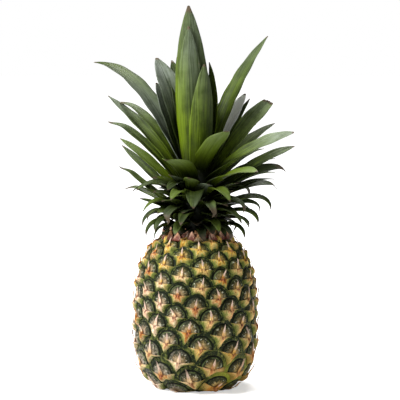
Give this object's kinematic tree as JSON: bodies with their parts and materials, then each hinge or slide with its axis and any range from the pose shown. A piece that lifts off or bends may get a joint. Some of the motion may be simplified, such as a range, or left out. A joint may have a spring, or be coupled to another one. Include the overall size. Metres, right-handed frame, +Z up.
{
  "type": "pineapple",
  "caption": "Whole ripe pineapple standing upright: barrel-shaped fruit with a spiral of raised eyes and bract tips, leafy crown on a short stem, and a flat cut stalk end to stand on.",
  "frame": {"origin": "centre of the flat cut end of the stalk, on the surface that the fruit stands on", "axes": "+Z up through the fruit and its crown; -Y is the side seen first, +X to its right"},
  "size_m": [0.2047, 0.1569, 0.38],
  "materials": {
    "fruit_skin": "satin",
    "leaf_green": "satin",
    "stalk_flesh": "matte"
  },
  "bodies": {
    "root": {"fruit": "fruit_skin", "crown": "leaf_green", "stalk_end": "stalk_flesh"}
  },
  "joints": []
}
